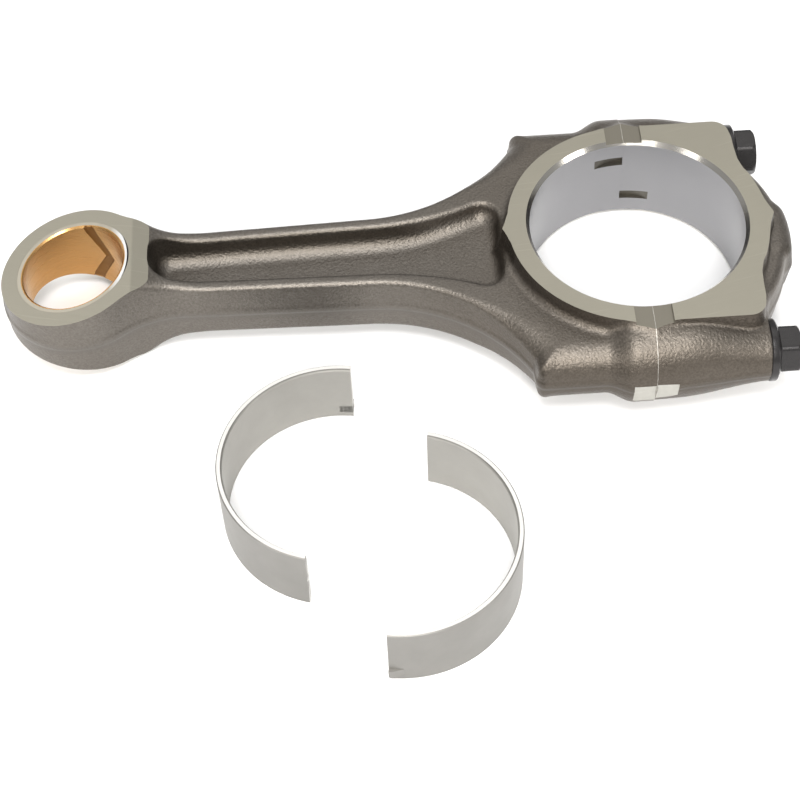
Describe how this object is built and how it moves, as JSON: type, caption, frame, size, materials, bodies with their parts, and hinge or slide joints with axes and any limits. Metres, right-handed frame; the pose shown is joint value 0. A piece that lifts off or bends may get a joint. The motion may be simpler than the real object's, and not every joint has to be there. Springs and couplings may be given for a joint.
{
  "type": "connecting rod",
  "caption": "Forged connecting rod with an I-section shank, a split big end with bolted cap, a bushed keystone small end and loose bearing half-shells.",
  "frame": {"origin": "centre of the big-end housing bore, at the middle of its width", "axes": "+X along the rod from the small end to the bolt heads, +Y across the rod away from the half-shells, +Z along the big-end bore axis, square to the machined faces; the rod and the half-shells lie on the plane of the lower big-end face"},
  "size_m": [0.272, 0.2087, 0.036],
  "materials": {
    "forged_rod": "shot-blasted forging with milled and bored faces",
    "forged_cap": "shot-blasted forging with milled and bored faces",
    "bush_steel": "fine turned",
    "bush_bronze": "fine bored bearing bronze",
    "bolt_oxide": "black oxide, slightly oiled",
    "shell_back": "smooth pressed steel",
    "shell_lining": "fine bored bearing alloy, matt"
  },
  "bodies": {
    "rod": {"rod_forging": "forged_rod", "bush_steel_back": "bush_steel", "bush_bronze_lining": "bush_bronze"},
    "cap": {"bearing_cap": "forged_cap"},
    "front_bolt": {"front_cap_bolt": "bolt_oxide"},
    "rear_bolt": {"rear_cap_bolt": "bolt_oxide"},
    "left_shell": {"left_shell_steel_back": "shell_back", "left_shell_bearing_lining": "shell_lining"},
    "right_shell": {"right_shell_steel_back": "shell_back", "right_shell_bearing_lining": "shell_lining"}
  },
  "joints": [
    {"name": "cap_slide", "type": "slide", "parent": "rod", "child": "cap", "axis": [1, 0, 0], "range_m": [0, 0.03]},
    {"name": "front_bolt_turn", "type": "hinge", "parent": "cap", "child": "front_bolt", "pos_m": [0.04, -0.045, 0], "axis": [1, 0, 0], "range_deg": [0, 8641]},
    {"name": "rear_bolt_turn", "type": "hinge", "parent": "cap", "child": "rear_bolt", "pos_m": [0.04, 0.045, 0], "axis": [1, 0, 0], "range_deg": [0, 8641]},
    {"name": "left_shell_lift", "type": "slide", "parent": "rod", "child": "left_shell", "axis": [0, 0, 1], "range_m": [0, 0.06]},
    {"name": "right_shell_lift", "type": "slide", "parent": "rod", "child": "right_shell", "axis": [0, 0, 1], "range_m": [0, 0.06]}
  ],
  "couplings": [
    {"joint": "front_bolt_turn", "follows": "cap_slide", "rad_per_m": 5026.5},
    {"joint": "rear_bolt_turn", "follows": "cap_slide", "rad_per_m": 5026.5}
  ]
}
